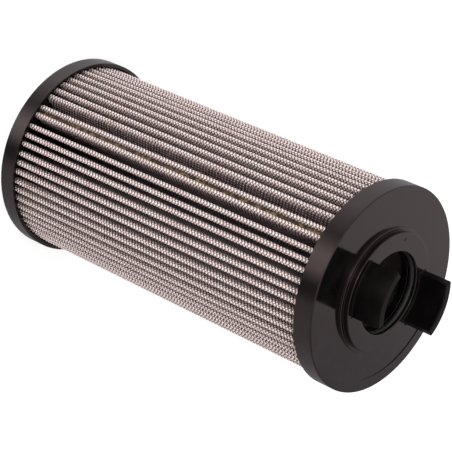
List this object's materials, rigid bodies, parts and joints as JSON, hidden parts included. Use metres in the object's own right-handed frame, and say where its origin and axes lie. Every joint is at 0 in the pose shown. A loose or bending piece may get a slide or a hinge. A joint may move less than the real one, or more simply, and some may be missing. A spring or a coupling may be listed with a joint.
{
  "type": "pleated hydraulic filter element",
  "caption": "Cylindrical pleated filter element with wire-cloth folds between two moulded end caps, a sealed bore and two curved lugs on a stepped boss.",
  "frame": {"origin": "middle of the closed cap's flat face, on which the element stands", "axes": "+Z along the element's axis to the open cap with the bore, +X through the middle of one lug"},
  "size_m": [0.08, 0.08, 0.178],
  "materials": {
    "cap_plastic": "black moulded, satin gloss",
    "seal_rubber": "black, smooth",
    "core_plastic": "dark brown moulded",
    "wire_cloth": "bright woven wire",
    "fibre_media": "glass fibre felt",
    "adhesive": "cured yellow-brown adhesive"
  },
  "bodies": {
    "root": {"open_end_cap": "cap_plastic", "closed_end_cap": "cap_plastic", "bore_seal": "seal_rubber", "support_core": "core_plastic", "outer_wire_cloth": "wire_cloth", "glass_fibre_media": "fibre_media", "inner_wire_cloth": "wire_cloth", "seam_bead": "adhesive", "closed_end_potting": "adhesive", "open_end_potting": "adhesive"}
  },
  "joints": []
}
